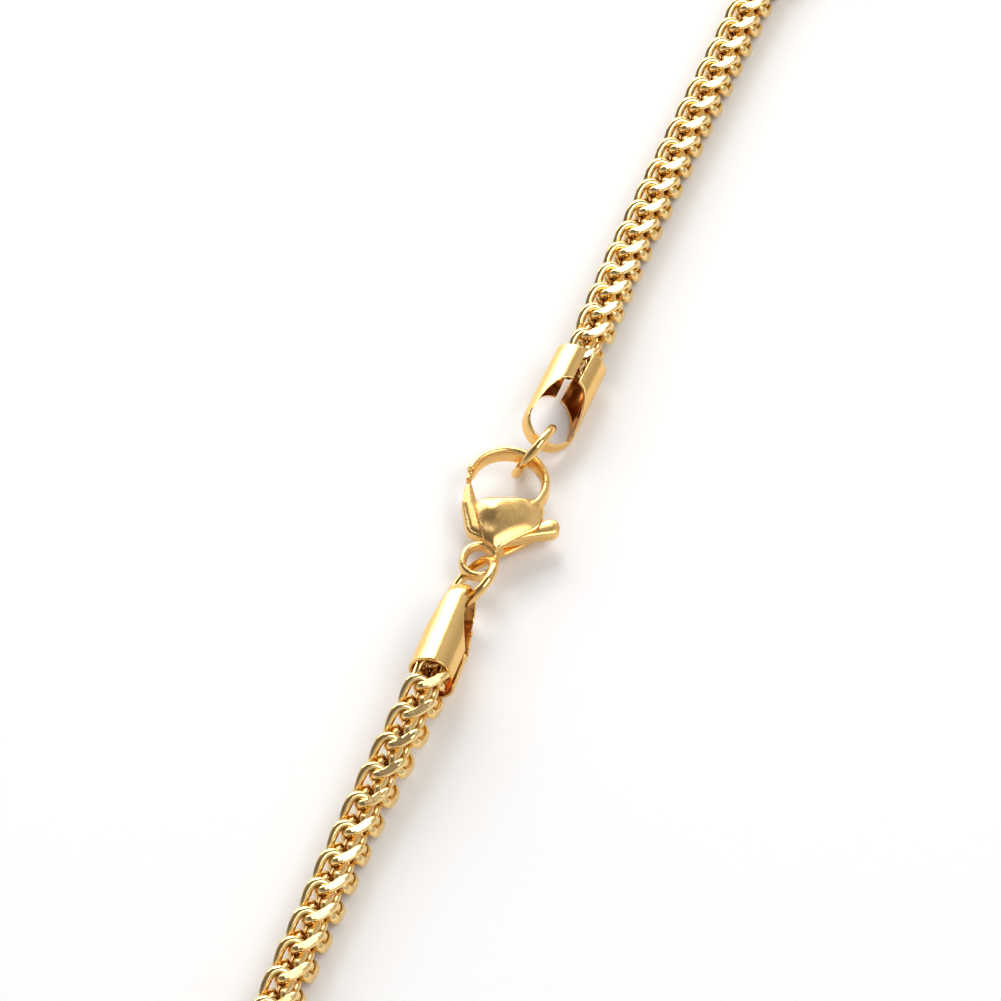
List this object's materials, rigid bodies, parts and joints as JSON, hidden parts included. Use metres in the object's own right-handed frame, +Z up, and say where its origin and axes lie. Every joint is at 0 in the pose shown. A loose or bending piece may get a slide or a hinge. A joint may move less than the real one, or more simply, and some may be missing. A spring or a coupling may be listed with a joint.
{
  "type": "franco chain necklace",
  "caption": "Square franco chain closed into one long loop, with a folded end cap and a jump ring at each end and a sprung lobster clasp between them.",
  "frame": {"origin": "middle of the necklace's outline, on the surface that it lies on", "axes": "+Y along the long loop, from the lower end cap to the upper one at the clasp; +X from the clasp's side to the far side; +Z up"},
  "size_m": [0.089, 0.2101, 0.0053],
  "materials": {
    "gold_links": "polished",
    "gold_findings": "polished"
  },
  "bodies": {
    "necklace": {"chain_a": "gold_links", "chain_b": "gold_links", "end_cap_a": "gold_findings", "end_cap_b": "gold_findings", "jump_ring_a": "gold_findings", "jump_ring_b": "gold_findings", "clasp_body": "gold_findings", "clasp_pin": "gold_findings"},
    "lever": {"clasp_lever": "gold_findings"}
  },
  "joints": [
    {"name": "lever_hinge", "type": "hinge", "parent": "necklace", "child": "lever", "pos_m": [-0.03984, -0.00439, 0.00199], "axis": [-0.0743, 0.0494, -0.996], "range_deg": [0, 20], "stiffness_Nm_per_rad": 0.01}
  ]
}
